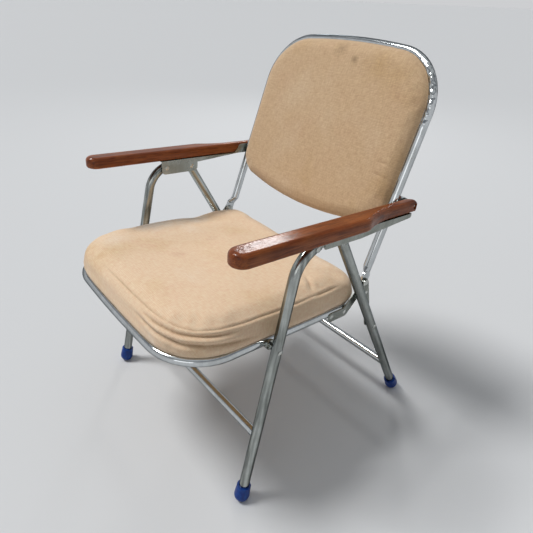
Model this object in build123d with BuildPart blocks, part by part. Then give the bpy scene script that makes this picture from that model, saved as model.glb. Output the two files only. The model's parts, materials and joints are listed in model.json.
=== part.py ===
from build123d import *
from math import asin, atan, atan2, cos, degrees, hypot, radians, sin, tan
import os

# Folding armchair: a frame of chromed and plated steel tube, two varnished wood arms,
# and a padded seat and back on plywood boards.
#
# Millimetres. +Z is up, +X is the sitter's left and -Y is the front. The origin is on the
# floor under the middle of the open chair. Pairs are (y, z) in the side view unless a
# comment says otherwise. The left half is drawn and the right half is its mirror image.

# ---------------------------------------------------------------- driving dimensions
# Tube, sheet and fasteners
leg_d = 22.2
leg_wall = 1.4
frame_d = 19.0
frame_wall = 1.2
sheet_t = 2.0
link_t = 2.5
clip_t = 1.5
washer_t = 1.0
rivet_r = 3.0
bolt_r = 4.0
head_r = 5.5
head_h = 1.6
low_head_h = 1.2
gap = 0.3
pin_gap = 0.1
weld_gap = 0.02

# Widths, from the middle plane
frame_x = 252.0
front_foot_x = 289.5
arm_w = 46.0
neck_w = 26.0

# Pivots in the side view
front_leg_pivot = (-47.4, 565.3)
rear_leg_pivot = (26.3, 557.7)
back_pivot = (240.0, 576.6)
seat_pivot = (-133.7, 369.1)
hinge_pivot = (140.2, 408.0)
link_pivot = (167.3, 287.8)

# Legs
front_foot_y = -230.0
rear_foot_y = 317.8
front_leg_top_heading = 20.0
knee_r = 70.0
leg_tail = 9.0
front_crossbar_z = 172.0
rear_crossbar_z = 120.0
foot_ball_r = 17.0
foot_top_r = 15.5
foot_centre_z = 15.0
foot_sleeve = 25.0

# Wood arms
arm_slope = 4.2
arm_len = 493.4
arm_tail = 10.1
arm_end_rise = 0.3
arm_t = 25.8
arm_top_round = 10.0
arm_bottom_round = 5.0
arm_end_corner = 24.0
arm_tip_round = 7.0
neck_setback = 191.4
neck_len = 100.0
neck_shoulder_r = 45.0
rivet_recess_r = 6.5
rivet_recess_depth = 6.0

# Steel channel under each arm, with positions along the chair as y
channel_front_y = -60.0
inner_web_rear_y = 46.0
inner_web_depth = 35.0
inner_web_round = 11.0
outer_web_front_y = -33.0
outer_web_taper_y = 70.0
outer_web_rear_y = 228.0
outer_web_depth = 21.0
outer_web_end_depth = 9.0
ear_foot_y = 166.0
ear_top_y = 188.0
ear_round = 9.0
arm_screw_ys = (-8.0, 92.0, 150.0)
arm_screw_grip = 14.0

# Seat frame, board and cushion
seat_rear = (125.1, 355.4)
seat_slope = 4.67
seat_depth = 459.0
seat_corner_r = 108.0
seat_crown_r = 3600.0
seat_rear_corner_r = 48.0
seat_board_t = 9.0
cushion_overhang = 8.5
cushion_h = 58.0
cushion_round = 24.0
cushion_rear_corner_r = 100.0
plate_rivet_ys = (40.8, 82.3)
plate_rivet_drop = 5.5
plate_end_r = 11.0
lug_r = 11.0
lug_slack = 3.0
lug_hole_shift = (0.65, 2.6)

# Back frame, board and pad
back_foot = (144.2, 406.3)
back_lean = 22.08
back_len = 500.0
back_corner_r = 120.0
back_crown_r = 1600.0
tongue_t = 4.3
tongue_r = 12.0
squash_start = 36.0
squash_end = 15.0
back_board_t = 6.0
pad_inset = 4.5
pad_t = 17.5
pad_round = 9.0
pad_bottom = 103.0
pad_bottom_crown_r = 900.0
pad_bottom_corner_r = 62.0
board_rim = 12.0
clip_w = 22.0
clip_ear_r = 10.0

# Tabs that carry the boards, and their screws
tab_w = 18.0
tab_reach = 26.0
tab_root = 3.0
tab_t = 1.5
tab_screw_at = 18.0
seat_tab_front_gap = 60.0
seat_tab_rear_gap = 30.0
back_tab_low_gap = 140.0
back_tab_high_gap = 20.0
screw_r = 1.9
screw_head_r = 4.0
screw_head_h = 2.0
screw_bite = 5.0
vent_r = 1.5

# ---------------------------------------------------------------- layers across the chair
# Seat and back tubes, hinge plate, link strap and leg lie side by side, from the inside out.
frame_face = frame_x + frame_d / 2
plate_face = frame_face + sheet_t
link_in = plate_face + low_head_h + gap
link_out = link_in + link_t
leg_face = link_out + gap
leg_x = leg_face + leg_d / 2
clip_face = frame_face + clip_t
web_in = clip_face + washer_t
web_out = web_in + sheet_t
outer_web_in = leg_x + leg_d / 2 + head_h + gap + pin_gap
outer_web_out = outer_web_in + sheet_t
arm_in = web_out
arm_out = arm_in + arm_w
neck_x = arm_in + neck_w


# ---------------------------------------------------------------- helpers
def heading(start, end):
    """Angle of the line from start to end in the side view, in degrees."""
    return degrees(atan2(end[1] - start[1], end[0] - start[0]))


def ahead(point, angle, distance):
    """Point at a distance from another, along a heading in degrees."""
    return (point[0] + distance * cos(radians(angle)), point[1] + distance * sin(radians(angle)))


def crossing(point_a, angle_a, point_b, angle_b):
    """Point where two lines cross, each given by a point and a heading."""
    dy = point_b[0] - point_a[0]
    dz = point_b[1] - point_a[1]
    turn = sin(radians(angle_b - angle_a))
    reach = (dy * sin(radians(angle_b)) - dz * cos(radians(angle_b))) / turn
    return ahead(point_a, angle_a, reach)


def side_plane(x):
    """Plane across the chair at x, with local X along +Y and local Y along +Z."""
    return Plane(origin=(x, 0, 0), x_dir=(0, 1, 0), z_dir=(1, 0, 0))


def sloped_plane(front, slope):
    """Plane through a (y, z) point on the middle plane that falls rearwards by slope degrees."""
    lean = radians(slope)
    return Plane(origin=(0, front[0], front[1]), x_dir=(1, 0, 0), z_dir=(0, sin(lean), cos(lean)))


def mirrored(piece):
    """The same piece on the other side of the chair."""
    with BuildPart() as other:
        mirror(piece.part, about=Plane.YZ)
    return other


def both_sides(piece):
    """One group that holds a piece and its mirror image."""
    with BuildPart() as pair:
        add(piece.part)
        mirror(about=Plane.YZ)
    return pair


def save(piece, name):
    """Label a finished piece and write its STEP file."""
    piece.part.label = name
    export_step(piece.part, f"parts/{name}.step")


def strap(x, thickness, stations):
    """Flat bar at x. Its outline is the hull of the round at each station and the next."""
    with BuildPart() as bar:
        for (start, start_r), (end, end_r) in zip(stations, stations[1:]):
            with BuildSketch(side_plane(x)):
                with Locations(start):
                    Circle(start_r)
                with Locations(end):
                    Circle(end_r)
                make_hull()
            extrude(amount=thickness)
    return bar


def rivet(centre, x_in, x_out, shank_r, cap_r, cap_in, cap_out):
    """Rivet along X that grips from x_in to x_out, with a domed head of each given height."""
    view = Plane(origin=(0, centre[0], centre[1]), x_dir=(1, 0, 0), z_dir=(0, -1, 0))
    tip_in = (x_in - cap_in, 0)
    tip_out = (x_out + cap_out, 0)
    with BuildPart() as piece:
        with BuildSketch(view):
            with BuildLine():
                Line(tip_in, tip_out)
                if cap_out:
                    TangentArc(tip_out, (x_out, cap_r), tangent=(0, 1))
                    Line((x_out, cap_r), (x_out, shank_r))
                else:
                    Line(tip_out, (x_out, shank_r))
                Line((x_out, shank_r), (x_in, shank_r))
                if cap_in:
                    Line((x_in, shank_r), (x_in, cap_r))
                    TangentArc(tip_in, (x_in, cap_r), tangent=(0, 1))
                else:
                    Line((x_in, shank_r), tip_in)
            make_face()
        revolve(axis=Axis((0, centre[0], centre[1]), (1, 0, 0)))
    return piece


def bore(centre, radius, x_from, x_to):
    """Cut a hole along X through the part being built."""
    with BuildSketch(side_plane(x_from)) as hole:
        with Locations(centre):
            Circle(radius)
    extrude(hole.sketch, amount=x_to - x_from, mode=Mode.SUBTRACT)


def washer(centre, x_from, x_to, outer_r, inner_r):
    """Flat ring along X."""
    with BuildPart() as ring:
        with BuildSketch(side_plane(x_from)):
            with Locations(centre):
                Circle(outer_r)
                Circle(inner_r, mode=Mode.SUBTRACT)
        extrude(amount=x_to - x_from)
    return ring


def screws(places, grip):
    """Pan-head screws that point along each place's Z and are driven from its origin."""
    with BuildPart() as group:
        with Locations(*places):
            Cylinder(screw_head_r, screw_head_h, align=(Align.CENTER, Align.CENTER, Align.MAX))
            Cylinder(screw_r, grip, align=(Align.CENTER, Align.CENTER, Align.MIN))
    return group


def crowned_end(half_width, corner_r, crown_r, end, way):
    """Draw a slightly bowed end and its corner, from the middle line out to the side.

    way is 1 where the end faces local +Y and -1 where it faces -Y. Returns the local Y
    where the straight side begins.
    """
    lean = degrees(asin((half_width - corner_r) / (crown_r - corner_r)))
    corner_y = end - way * (crown_r - (crown_r - corner_r) * cos(radians(lean)))
    CenterArc((0, end - way * crown_r), crown_r, way * 90, -way * lean)
    CenterArc((half_width - corner_r, corner_y), corner_r, way * (90 - lean), -way * (90 - lean))
    return corner_y


def square_end(half_width, corner_r, end, way):
    """Draw a straight end and its round corner, as crowned_end does."""
    corner_y = end - way * corner_r
    Line((0, end), (half_width - corner_r, end))
    CenterArc((half_width - corner_r, corner_y), corner_r, way * 90, -way * 90)
    return corner_y


# ---------------------------------------------------------------- legs
front_leg_heading = heading((front_foot_y, 0), seat_pivot)
rear_leg_heading = heading((rear_foot_y, 0), rear_leg_pivot)
splay = degrees(atan((front_foot_x - leg_x) / front_leg_pivot[1]))

# Each leg lies in a plane of its own. The front legs splay a little towards their feet.
front_leg_plane = Plane(
    origin=(front_foot_x, 0, 0),
    x_dir=(0, 1, 0),
    z_dir=(cos(radians(splay)), 0, sin(radians(splay))),
)
rear_leg_plane = side_plane(leg_x)


def on_front_leg(point):
    """A side-view point in the front leg's own splayed plane."""
    return (point[0], point[1] / cos(radians(splay)))


def front_leg_x(z):
    """Distance of the front leg's axis from the middle plane at height z."""
    return front_foot_x - z * tan(radians(splay))


def at_height(foot_y, angle, z):
    """Point of a leg's straight run at height z."""
    return (foot_y + z / tan(radians(angle)), z)


front_foot = at_height(front_foot_y, front_leg_heading, foot_centre_z)
rear_foot = at_height(rear_foot_y, rear_leg_heading, foot_centre_z)
front_tail = ahead(front_leg_pivot, front_leg_top_heading, leg_tail)
rear_tail = ahead(rear_leg_pivot, rear_leg_heading, leg_tail)
knee = crossing(front_foot, front_leg_heading, front_leg_pivot, front_leg_top_heading)
front_run_heading = heading(on_front_leg(front_foot), on_front_leg(knee))


def leg_frame(plane, point, angle):
    """Plane at a point of a leg, with its local Y along the leg."""
    return Plane(plane.location * Location((point[0], point[1], 0), (0, 0, angle - 90)))


def tube_along(route, outer_d, wall):
    """Sweep a round tube along a line in the part being built."""
    with BuildSketch(Plane(origin=route.line @ 0, z_dir=route.line % 0)) as ring:
        Circle(outer_d / 2)
        Circle(outer_d / 2 - wall, mode=Mode.SUBTRACT)
    sweep(ring.sketch, path=route.line)


with BuildPart() as front_leg_left:
    with BuildLine(front_leg_plane) as front_leg_route:
        FilletPolyline(
            on_front_leg(front_foot), on_front_leg(knee), on_front_leg(front_tail), radius=knee_r
        )
    tube_along(front_leg_route, leg_d, leg_wall)
    bore(front_leg_pivot, rivet_r + pin_gap, leg_x - leg_d, leg_x + leg_d)
    bore(seat_pivot, rivet_r, leg_x - leg_d, leg_x + 2 * leg_d)

with BuildPart() as rear_leg_left:
    with BuildLine(rear_leg_plane) as rear_leg_route:
        Line(rear_foot, rear_tail)
    tube_along(rear_leg_route, leg_d, leg_wall)
    bore(rear_leg_pivot, rivet_r + pin_gap, leg_x - leg_d, leg_x + leg_d)
    bore(link_pivot, rivet_r, leg_x - leg_d, leg_x + leg_d)


def crossbar(centre, half_len, frame):
    """Tube between a pair of legs, with each end coped to the leg it is welded to."""
    with BuildPart() as bar:
        with BuildSketch(Plane.YZ):
            with Locations(centre):
                Circle(frame_d / 2)
                Circle(frame_d / 2 - frame_wall, mode=Mode.SUBTRACT)
        extrude(amount=half_len)
        with Locations(frame):
            Cylinder(
                leg_d / 2 + weld_gap, 4 * centre[1], rotation=(90, 0, 0), mode=Mode.SUBTRACT
            )
        mirror(about=Plane.YZ)
    return bar


front_leg_base = leg_frame(front_leg_plane, on_front_leg(front_foot), front_run_heading)
rear_leg_base = leg_frame(rear_leg_plane, rear_foot, rear_leg_heading)
front_crossbar = crossbar(
    at_height(front_foot_y, front_leg_heading, front_crossbar_z),
    front_leg_x(front_crossbar_z),
    front_leg_base,
)
rear_crossbar = crossbar(
    at_height(rear_foot_y, rear_leg_heading, rear_crossbar_z), leg_x, rear_leg_base
)


def foot_cap(frame):
    """Moulded cap that sleeves a leg's lower end. Its ball is flat where it stands."""
    with BuildPart() as cap:
        with BuildSketch(frame):
            with BuildLine():
                Line((0, 0), (0, -foot_ball_r))
                CenterArc((0, 0), foot_ball_r, -90, 90)
                Line((foot_ball_r, 0), (foot_top_r, foot_sleeve))
                Line((foot_top_r, foot_sleeve), (leg_d / 2, foot_sleeve))
                Line((leg_d / 2, foot_sleeve), (leg_d / 2, 0))
                Line((leg_d / 2, 0), (0, 0))
            make_face()
        revolve(axis=Axis(frame.origin, frame.y_dir))
        split(bisect_by=Plane.XY, keep=Keep.TOP)
    return cap


front_foot_left = foot_cap(front_leg_base)
rear_foot_left = foot_cap(rear_leg_base)

# ---------------------------------------------------------------- wood arms
# The arm is set out forwards from the back's pivot, so a longer arm reaches further forward.
arm_axis_rear = ahead(back_pivot, -90 - arm_slope, arm_end_rise)
arm_front = ahead(arm_axis_rear, 180 - arm_slope, arm_len - arm_tail)
arm_plane = sloped_plane(arm_front, arm_slope)
arm_bottom = -arm_t / 2
neck_start = arm_len - neck_setback
neck_end = neck_start + neck_len
neck_turn = 2 * degrees(atan((arm_out - neck_x) / neck_len))
shoulder = (
    arm_out - neck_shoulder_r * (1 - cos(radians(neck_turn))),
    neck_start + neck_shoulder_r * sin(radians(neck_turn)),
)


def arm_side_plane(x):
    """Plane across the chair at x, with local X rearwards along the arm."""
    lean = radians(arm_slope)
    return Plane(
        origin=(x, arm_front[0], arm_front[1]), x_dir=(0, cos(lean), -sin(lean)), z_dir=(1, 0, 0)
    )


def in_arm(point):
    """A side-view point as (distance along the arm, height above its mid-height)."""
    lean = radians(arm_slope)
    dy = point[0] - arm_front[0]
    dz = point[1] - arm_front[1]
    return (dy * cos(lean) - dz * sin(lean), dy * sin(lean) + dz * cos(lean))


def along_arm(y):
    """Distance along the arm of the place on its axis that is at y."""
    return (y - arm_front[0]) / cos(radians(arm_slope))


with BuildPart() as arm_end_rivet_left:
    recess_floor = neck_x - rivet_recess_depth
    grip_in = frame_face - pin_gap
    add(rivet(back_pivot, grip_in, recess_floor, rivet_r, head_r, head_h, 2 * head_h).part)

with BuildPart() as arm_left:
    with BuildSketch(arm_plane.offset(arm_bottom)) as arm_outline:
        with BuildLine():
            nose_r = arm_w / 2
            Line((arm_in, arm_len - arm_end_corner), (arm_in, nose_r))
            ThreePointArc((arm_in, nose_r), (arm_in + nose_r, 0), (arm_out, nose_r))
            Line((arm_out, nose_r), (arm_out, neck_start))
            TangentArc((arm_out, neck_start), shoulder, tangent=(0, 1))
            TangentArc(
                shoulder,
                (neck_x, neck_end),
                tangent=(-sin(radians(neck_turn)), cos(radians(neck_turn))),
            )
            Line((neck_x, neck_end), (neck_x, arm_len))
            TangentArc(
                (arm_in, arm_len - arm_end_corner), (neck_x, arm_len), tangent=(0, 1)
            )
        make_face()
        fillet(arm_outline.vertices().sort_by(Axis.Y)[-1], arm_tip_round)
    extrude(amount=arm_t)
    up = Axis(arm_plane.origin, arm_plane.z_dir)
    fillet(arm_left.faces().sort_by(up)[-1].edges(), arm_top_round)
    fillet(arm_left.faces().sort_by(up)[0].edges(), arm_bottom_round)
    bore(back_pivot, rivet_recess_r, recess_floor, arm_out)
    add(arm_end_rivet_left.part, mode=Mode.SUBTRACT)


# ---------------------------------------------------------------- channel under the arm
with BuildPart() as arm_channel_left:
    front_s = along_arm(channel_front_y)
    rear_s = along_arm(outer_web_rear_y)
    with BuildSketch(arm_plane.offset(arm_bottom - sheet_t)):
        with Locations(((web_in + outer_web_out) / 2, (front_s + rear_s) / 2)):
            Rectangle(outer_web_out - web_in, rear_s - front_s)
    extrude(amount=sheet_t)
    with BuildSketch(arm_side_plane(web_in)):
        with BuildLine():
            low = arm_bottom - inner_web_depth
            web_rear_s = along_arm(inner_web_rear_y)
            FilletPolyline(
                (front_s, arm_bottom),
                (front_s, low),
                (web_rear_s, low),
                (web_rear_s, arm_bottom),
                radius=inner_web_round,
            )
            Line((web_rear_s, arm_bottom), (front_s, arm_bottom))
        make_face()
    extrude(amount=sheet_t)
    with BuildSketch(arm_side_plane(outer_web_in)):
        with BuildLine():
            low = arm_bottom - outer_web_depth
            low_end = arm_bottom - outer_web_end_depth
            web_front_s = along_arm(outer_web_front_y)
            FilletPolyline(
                (web_front_s, arm_bottom),
                (web_front_s, low),
                (along_arm(outer_web_taper_y), low),
                (rear_s, low_end),
                (rear_s, arm_bottom),
                radius=(outer_web_end_depth - sheet_t) / 2,
            )
            Line((rear_s, arm_bottom), (web_front_s, arm_bottom))
        make_face()
    extrude(amount=sheet_t)
    with BuildSketch(arm_side_plane(web_in)):
        with BuildLine():
            ear_top = in_arm(back_pivot)[1] + ear_round
            ear_rear = in_arm(back_pivot)[0] + ear_round
            ear_low = arm_bottom - sheet_t
            FilletPolyline(
                (along_arm(ear_foot_y), ear_low),
                (along_arm(ear_top_y), ear_top),
                (ear_rear, ear_top),
                (ear_rear, ear_low),
                radius=ear_round - pin_gap,
            )
            Line((ear_rear, ear_low), (along_arm(ear_foot_y), ear_low))
        make_face()
    extrude(amount=sheet_t)
    for pivot in (front_leg_pivot, rear_leg_pivot, back_pivot):
        bore(pivot, rivet_r, web_in, web_out)

arm_screw_places = [
    arm_plane.location * Location((leg_x, along_arm(y), arm_bottom - sheet_t))
    for y in arm_screw_ys
]
arm_screws_left = screws(arm_screw_places, arm_screw_grip)
with BuildPart() as arm_bracket_left:
    add(arm_channel_left.part)
    add(arm_screws_left.part, mode=Mode.SUBTRACT)
with BuildPart() as arm_wood_left:
    add(arm_left.part)
    add(arm_screws_left.part, mode=Mode.SUBTRACT)

leg_rivet_end = leg_x + leg_d / 2 + pin_gap
front_leg_rivet_left = rivet(
    front_leg_pivot, web_in, leg_rivet_end, rivet_r, head_r, head_h, head_h
)
rear_leg_rivet_left = rivet(
    rear_leg_pivot, web_in, leg_rivet_end, rivet_r, head_r, head_h, head_h
)
leg_washer_r = head_r + washer_t
with BuildPart() as leg_washers_left:
    for pivot in (front_leg_pivot, rear_leg_pivot):
        add(washer(pivot, web_out, leg_face - pin_gap, leg_washer_r, rivet_r).part)
arm_end_washer_left = washer(back_pivot, clip_face + pin_gap, web_in, leg_washer_r, rivet_r)

# ---------------------------------------------------------------- seat
# The seat is set out forwards from its hinges, so a deeper seat reaches further forward.
seat_front = ahead(seat_rear, 180 - seat_slope, seat_depth)
seat_plane = sloped_plane(seat_front, seat_slope)
tube_top = frame_d / 2


def seat_tube_z(y):
    """Height of the seat tube's axis at y."""
    return seat_front[1] - (y - seat_front[0]) * tan(radians(seat_slope))


def tab_places(plane, stations):
    """Place of each board tab: its own +X points from the tube's axis towards the board."""
    return [
        plane.location * Location((x, y, tube_top), (0, 0, turn)) for x, y, turn in stations
    ]


seat_tab_front_s = seat_corner_r + seat_tab_front_gap
seat_tab_rear_s = seat_depth - seat_rear_corner_r - seat_tab_rear_gap
seat_tabs = tab_places(
    seat_plane,
    (
        (0, 0, 90),
        (-frame_x, seat_tab_front_s, 0),
        (frame_x, seat_tab_front_s, 180),
        (-frame_x, seat_tab_rear_s, 0),
        (frame_x, seat_tab_rear_s, 180),
        (0, seat_depth, -90),
    ),
)


def tab_screws(tabs):
    """One screw through each tab, up into the board."""
    return screws([tab * Location((tab_screw_at, 0, -tab_t)) for tab in tabs], tab_t + screw_bite)


def add_tabs(tabs):
    """Weld the board tabs to the inner side of the tube being built."""
    with Locations(*tabs):
        with Locations((tab_root, 0, 0)):
            Box(tab_reach - tab_root, tab_w, tab_t, align=(Align.MIN, Align.CENTER, Align.MAX))


seat_board_screws = tab_screws(seat_tabs)

plate_rivet_spots = [(y, seat_tube_z(y) - plate_rivet_drop) for y in plate_rivet_ys]
with BuildPart() as plate_rivets_left:
    for spot in plate_rivet_spots:
        add(rivet(spot, frame_x + leg_wall, plate_face, rivet_r, head_r, 0, low_head_h).part)
hinge_plate_rivets = both_sides(plate_rivets_left)

with BuildPart() as seat_frame:
    with BuildLine(seat_plane) as seat_route:
        side_front = crowned_end(frame_x, seat_corner_r, seat_crown_r, 0, -1)
        side_rear = square_end(frame_x, seat_rear_corner_r, seat_depth, 1)
        Line((frame_x, side_front), (frame_x, side_rear))
    tube_along(seat_route, frame_d, frame_wall)
    mirror(about=Plane.YZ)
    add_tabs(seat_tabs)
    add(seat_board_screws.part, mode=Mode.SUBTRACT)
    add(hinge_plate_rivets.part, mode=Mode.SUBTRACT)

with BuildPart() as seat_board:
    with BuildSketch(seat_plane.offset(tube_top)):
        with BuildLine():
            side_front = crowned_end(frame_x, seat_corner_r, seat_crown_r, 0, -1)
            side_rear = square_end(frame_x, cushion_rear_corner_r, seat_depth, 1)
            Line((frame_x, side_front), (frame_x, side_rear))
            Line((0, 0), (0, seat_depth))
        make_face()
        mirror(about=Plane.YZ)
    extrude(amount=seat_board_t)
    add(seat_board_screws.part, mode=Mode.SUBTRACT)

with BuildPart() as seat_cushion:
    with BuildSketch(seat_plane.offset(tube_top)):
        with BuildLine():
            cushion_x = frame_x + cushion_overhang
            side_front = crowned_end(
                cushion_x,
                seat_corner_r + cushion_overhang,
                seat_crown_r + cushion_overhang,
                -cushion_overhang,
                -1,
            )
            cushion_rear = seat_depth + cushion_overhang
            side_rear = square_end(cushion_x, cushion_rear_corner_r, cushion_rear, 1)
            Line((cushion_x, side_front), (cushion_x, side_rear))
            Line((0, -cushion_overhang), (0, cushion_rear))
        make_face()
        mirror(about=Plane.YZ)
    extrude(amount=cushion_h)
    fillet(
        seat_cushion.faces().sort_by(Axis(seat_plane.origin, seat_plane.z_dir))[-1].edges(),
        cushion_round,
    )
    add(seat_board.part, mode=Mode.SUBTRACT)
    add(seat_board_screws.part, mode=Mode.SUBTRACT)

with BuildPart() as hinge_plate_left:
    plate_stations = [(spot, plate_end_r) for spot in plate_rivet_spots]
    plate_stations.append((hinge_pivot, plate_end_r))
    add(strap(frame_face, sheet_t, plate_stations).part)
    bore(hinge_pivot, bolt_r, frame_face, plate_face)
    add(plate_rivets_left.part, mode=Mode.SUBTRACT)

# The lug hangs the seat tube on the front leg's pivot bolt. This is the linkage's open
# pivot, so its hole is wider than the bolt and a little off its centre.
lug_hole = (seat_pivot[0] + lug_hole_shift[0], seat_pivot[1] + lug_hole_shift[1])
lug_out = plate_face + low_head_h - gap
with BuildPart() as seat_lug_left:
    with BuildSketch(side_plane(frame_x + frame_d / 4)):
        with Locations(lug_hole, (lug_hole[0], seat_tube_z(lug_hole[0]) - lug_r / 2)):
            Circle(lug_r)
        make_hull()
    extrude(amount=lug_out - frame_x - frame_d / 4)
    with Locations(seat_plane.location * Location((frame_x, seat_depth / 2, 0), (90, 0, 0))):
        Cylinder(frame_d / 2, seat_depth, mode=Mode.SUBTRACT)
    bore(lug_hole, rivet_r + lug_slack, frame_x, lug_out)

seat_pivot_x = front_leg_x(seat_pivot[1])
seat_pivot_face = seat_pivot_x + leg_d / 2 + 2 * pin_gap
spacer_end = seat_pivot_x - leg_d / 2 - 2 * pin_gap
with BuildPart() as seat_pivot_bolt_left:
    add(rivet(seat_pivot, frame_face + gap, seat_pivot_face, rivet_r, head_r, 0, head_h).part)
with BuildPart() as seat_pivot_nut_left:
    with BuildSketch(side_plane(lug_out + gap)):
        with Locations(seat_pivot):
            RegularPolygon(leg_washer_r, 6)
            Circle(rivet_r, mode=Mode.SUBTRACT)
    extrude(amount=spacer_end - lug_out - gap)

# ---------------------------------------------------------------- back
back_plane = Plane(
    origin=(0, back_foot[0], back_foot[1]),
    x_dir=(1, 0, 0),
    z_dir=(0, -cos(radians(back_lean)), sin(radians(back_lean))),
)


def in_back(point):
    """A side-view point as (distance up the back's tube, distance in front of its axis)."""
    lean = radians(back_lean)
    dy = point[0] - back_foot[0]
    dz = point[1] - back_foot[1]
    return (dy * sin(lean) + dz * cos(lean), dz * sin(lean) - dy * cos(lean))


hinge_fore = in_back(hinge_pivot)[1]
clip_up, clip_fore = in_back(back_pivot)
tongue_out = frame_face - gap
tongue_in = tongue_out - tongue_t

back_tab_low_s = pad_bottom + back_tab_low_gap
back_tab_high_s = back_len - back_corner_r - back_tab_high_gap
back_tabs = tab_places(
    back_plane,
    (
        (-frame_x, back_tab_low_s, 0),
        (frame_x, back_tab_low_s, 180),
        (-frame_x, back_tab_high_s, 0),
        (frame_x, back_tab_high_s, 180),
        (0, back_len, -90),
    ),
)
back_board_screws = tab_screws(back_tabs)

with BuildPart() as back_half:
    with BuildLine(back_plane) as back_route:
        side_top = crowned_end(frame_x, back_corner_r, back_crown_r, back_len, 1)
        Line((frame_x, side_top), (frame_x, squash_start))
    tube_along(back_route, frame_d, frame_wall)
    # The lower end is pressed flat against its outer side and rounded about the hinge bolt.
    cross = Plane(origin=back_plane.origin, x_dir=(1, 0, 0), z_dir=back_plane.y_dir)
    with BuildSketch(cross.offset(squash_start)):
        with Locations((frame_x, 0)):
            Circle(frame_d / 2)
    with BuildSketch(cross.offset(squash_end)):
        with Locations(((tongue_in + tongue_out) / 2, -hinge_fore)):
            Ellipse(tongue_t / 2, tongue_r)
    loft()
    lean_heading = 90 - back_lean
    add(
        strap(
            tongue_in,
            tongue_t,
            [(hinge_pivot, tongue_r), (ahead(hinge_pivot, lean_heading, squash_end), tongue_r)],
        ).part
    )
    bore(hinge_pivot, bolt_r + pin_gap, tongue_in, tongue_out)

with BuildPart() as back_frame:
    add(back_half.part)
    mirror(about=Plane.YZ)
    add_tabs(back_tabs)
    add(back_board_screws.part, mode=Mode.SUBTRACT)
    # Plating vents near the lower ends, on the rear of the tube.
    with Locations(
        back_plane.location * Location((frame_x, squash_start + frame_d, 0)),
        back_plane.location * Location((-frame_x, squash_start + frame_d, 0)),
    ):
        Cylinder(
            vent_r, frame_d, align=(Align.CENTER, Align.CENTER, Align.MAX), mode=Mode.SUBTRACT
        )


def pad_outline(inset):
    """Draw half of the back pad's outline, drawn in by inset, and close it on the middle."""
    half = frame_x - pad_inset - inset
    top = back_len - pad_inset - inset
    bottom = pad_bottom + inset
    trim = pad_inset + inset
    side_high = crowned_end(half, back_corner_r - trim, back_crown_r - trim, top, 1)
    side_low = crowned_end(
        half, pad_bottom_corner_r - inset, pad_bottom_crown_r - inset, bottom, -1
    )
    Line((half, side_high), (half, side_low))
    Line((0, top), (0, bottom))


with BuildPart() as back_board:
    with BuildSketch(back_plane.offset(tube_top)):
        with BuildLine():
            pad_outline(board_rim)
        make_face()
        mirror(about=Plane.YZ)
    extrude(amount=back_board_t)
    add(back_board_screws.part, mode=Mode.SUBTRACT)

with BuildPart() as back_pad:
    with BuildSketch(back_plane.offset(tube_top)):
        with BuildLine():
            pad_outline(0)
        make_face()
        mirror(about=Plane.YZ)
    extrude(amount=pad_t)
    fillet(
        back_pad.faces().sort_by(Axis(back_plane.origin, back_plane.z_dir))[-1].edges(), pad_round
    )
    add(back_board.part, mode=Mode.SUBTRACT)
    add(back_board_screws.part, mode=Mode.SUBTRACT)
    # Notches for the saddle clips.
    with Locations(
        back_plane.location * Location((frame_x, clip_up, 0)),
        back_plane.location * Location((-frame_x, clip_up, 0)),
    ):
        Cylinder(
            frame_d / 2 + clip_t + gap,
            clip_w + 2 * gap,
            rotation=(90, 0, 0),
            mode=Mode.SUBTRACT,
        )

# Saddle clip round the back tube, with an ear that reaches rearwards to the arm's rivet.
with BuildPart() as back_clip_left:
    with BuildSketch(cross.offset(clip_up)):
        with Locations((frame_x, 0)):
            Circle(frame_d / 2 + clip_t)
            Circle(frame_d / 2, mode=Mode.SUBTRACT)
    extrude(amount=clip_w / 2, both=True)
    with BuildSketch(side_plane(frame_face)):
        root = ahead(back_pivot, 180 - back_lean, -clip_fore)
        with Locations(back_pivot):
            Circle(clip_ear_r)
        with Locations(root):
            Rectangle(frame_d / 2, clip_w, rotation=-back_lean)
        make_hull()
    extrude(amount=clip_t)
    bore(back_pivot, rivet_r + pin_gap, frame_face, clip_face)

with BuildPart() as hinge_bolt_left:
    nut_in = tongue_in - gap - 2 * bolt_r
    add(rivet(hinge_pivot, nut_in, plate_face, bolt_r, 2 * bolt_r, 0, low_head_h).part)
with BuildPart() as hinge_nut_left:
    with BuildSketch(side_plane(nut_in + washer_t)):
        with Locations(hinge_pivot):
            RegularPolygon(2 * bolt_r, 6)
            Circle(bolt_r, mode=Mode.SUBTRACT)
    extrude(amount=tongue_in - gap - nut_in - washer_t)

# ---------------------------------------------------------------- links
# Strap from the seat hinge down to the rear leg. It sets how far the chair opens.
link_r = 9.0
link_rivet_along = 29.0
countersink_r = rivet_r + 2.0
countersink_h = 1.2
link_heading = heading(hinge_pivot, link_pivot)
link_rivet_spot = ahead(hinge_pivot, link_heading, link_rivet_along)

with BuildPart() as link_left:
    add(strap(link_in, link_t, [(hinge_pivot, link_r), (link_pivot, link_r)]).part)
    bore(hinge_pivot, bolt_r, link_in, link_out)
    bore(link_rivet_spot, rivet_r, link_in, link_out)
    bore(link_pivot, rivet_r + pin_gap, link_in, link_out)
    with BuildSketch(side_plane(link_in)):
        with Locations(link_pivot):
            Circle(countersink_r + pin_gap)
    with BuildSketch(side_plane(link_in + countersink_h)):
        with Locations(link_pivot):
            Circle(rivet_r + pin_gap)
    loft(mode=Mode.SUBTRACT)

with BuildPart() as link_top_rivets_left:
    add(rivet(hinge_pivot, link_in, link_out, bolt_r, 2 * bolt_r, 0, 2 * head_h).part)
    add(rivet(link_rivet_spot, link_in, link_out, rivet_r, head_r, 0, head_h).part)

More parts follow.
